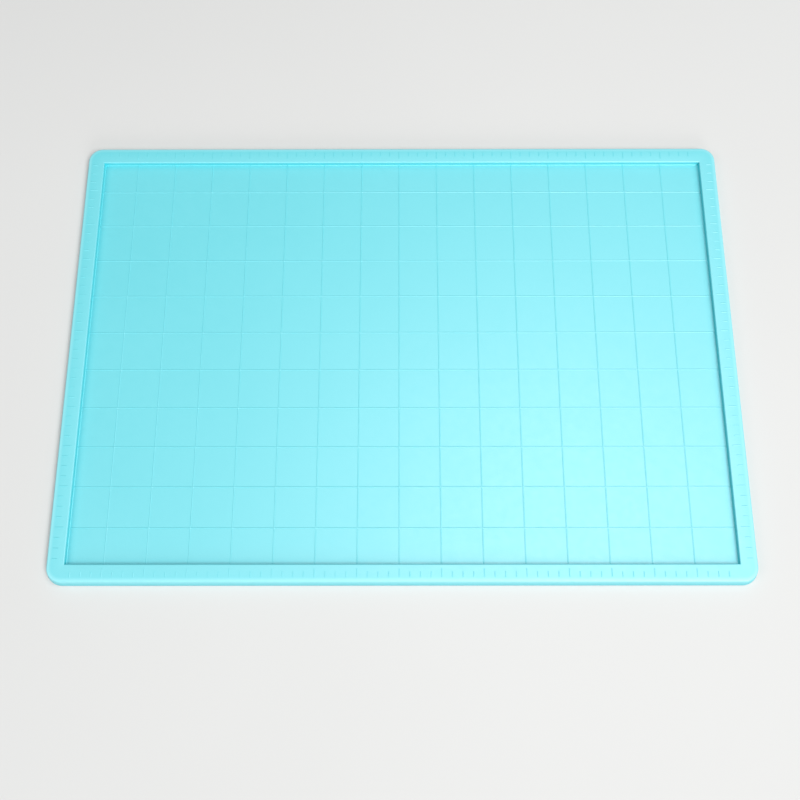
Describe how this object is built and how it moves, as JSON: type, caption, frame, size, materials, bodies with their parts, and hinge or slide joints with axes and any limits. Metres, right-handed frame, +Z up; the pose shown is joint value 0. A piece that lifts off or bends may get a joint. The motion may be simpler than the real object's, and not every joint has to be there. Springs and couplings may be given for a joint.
{
  "type": "silicone resin casting tray",
  "caption": "Shallow rectangular silicone casting tray with rounded corners, a flat raised rim with ruler marks and an inch grid on its floor.",
  "frame": {"origin": "centre of the underside, where the tray rests on a table", "axes": "+X to the right along the long side, +Y to the back along the short side, +Z up out of the casting floor"},
  "size_m": [0.429, 0.2962, 0.0065],
  "materials": {
    "silicone_floor": "smooth satin silicone, aqua",
    "silicone_rim": "satin silicone, aqua",
    "silicone_relief": "satin silicone, aqua"
  },
  "bodies": {
    "root": {"base_sheet": "silicone_floor", "rim_front": "silicone_rim", "rim_back": "silicone_rim", "rim_left": "silicone_rim", "rim_right": "silicone_rim", "grid_ridges": "silicone_relief", "ruler_front": "silicone_relief", "ruler_back": "silicone_relief", "ruler_left": "silicone_relief", "ruler_right": "silicone_relief"}
  },
  "joints": []
}
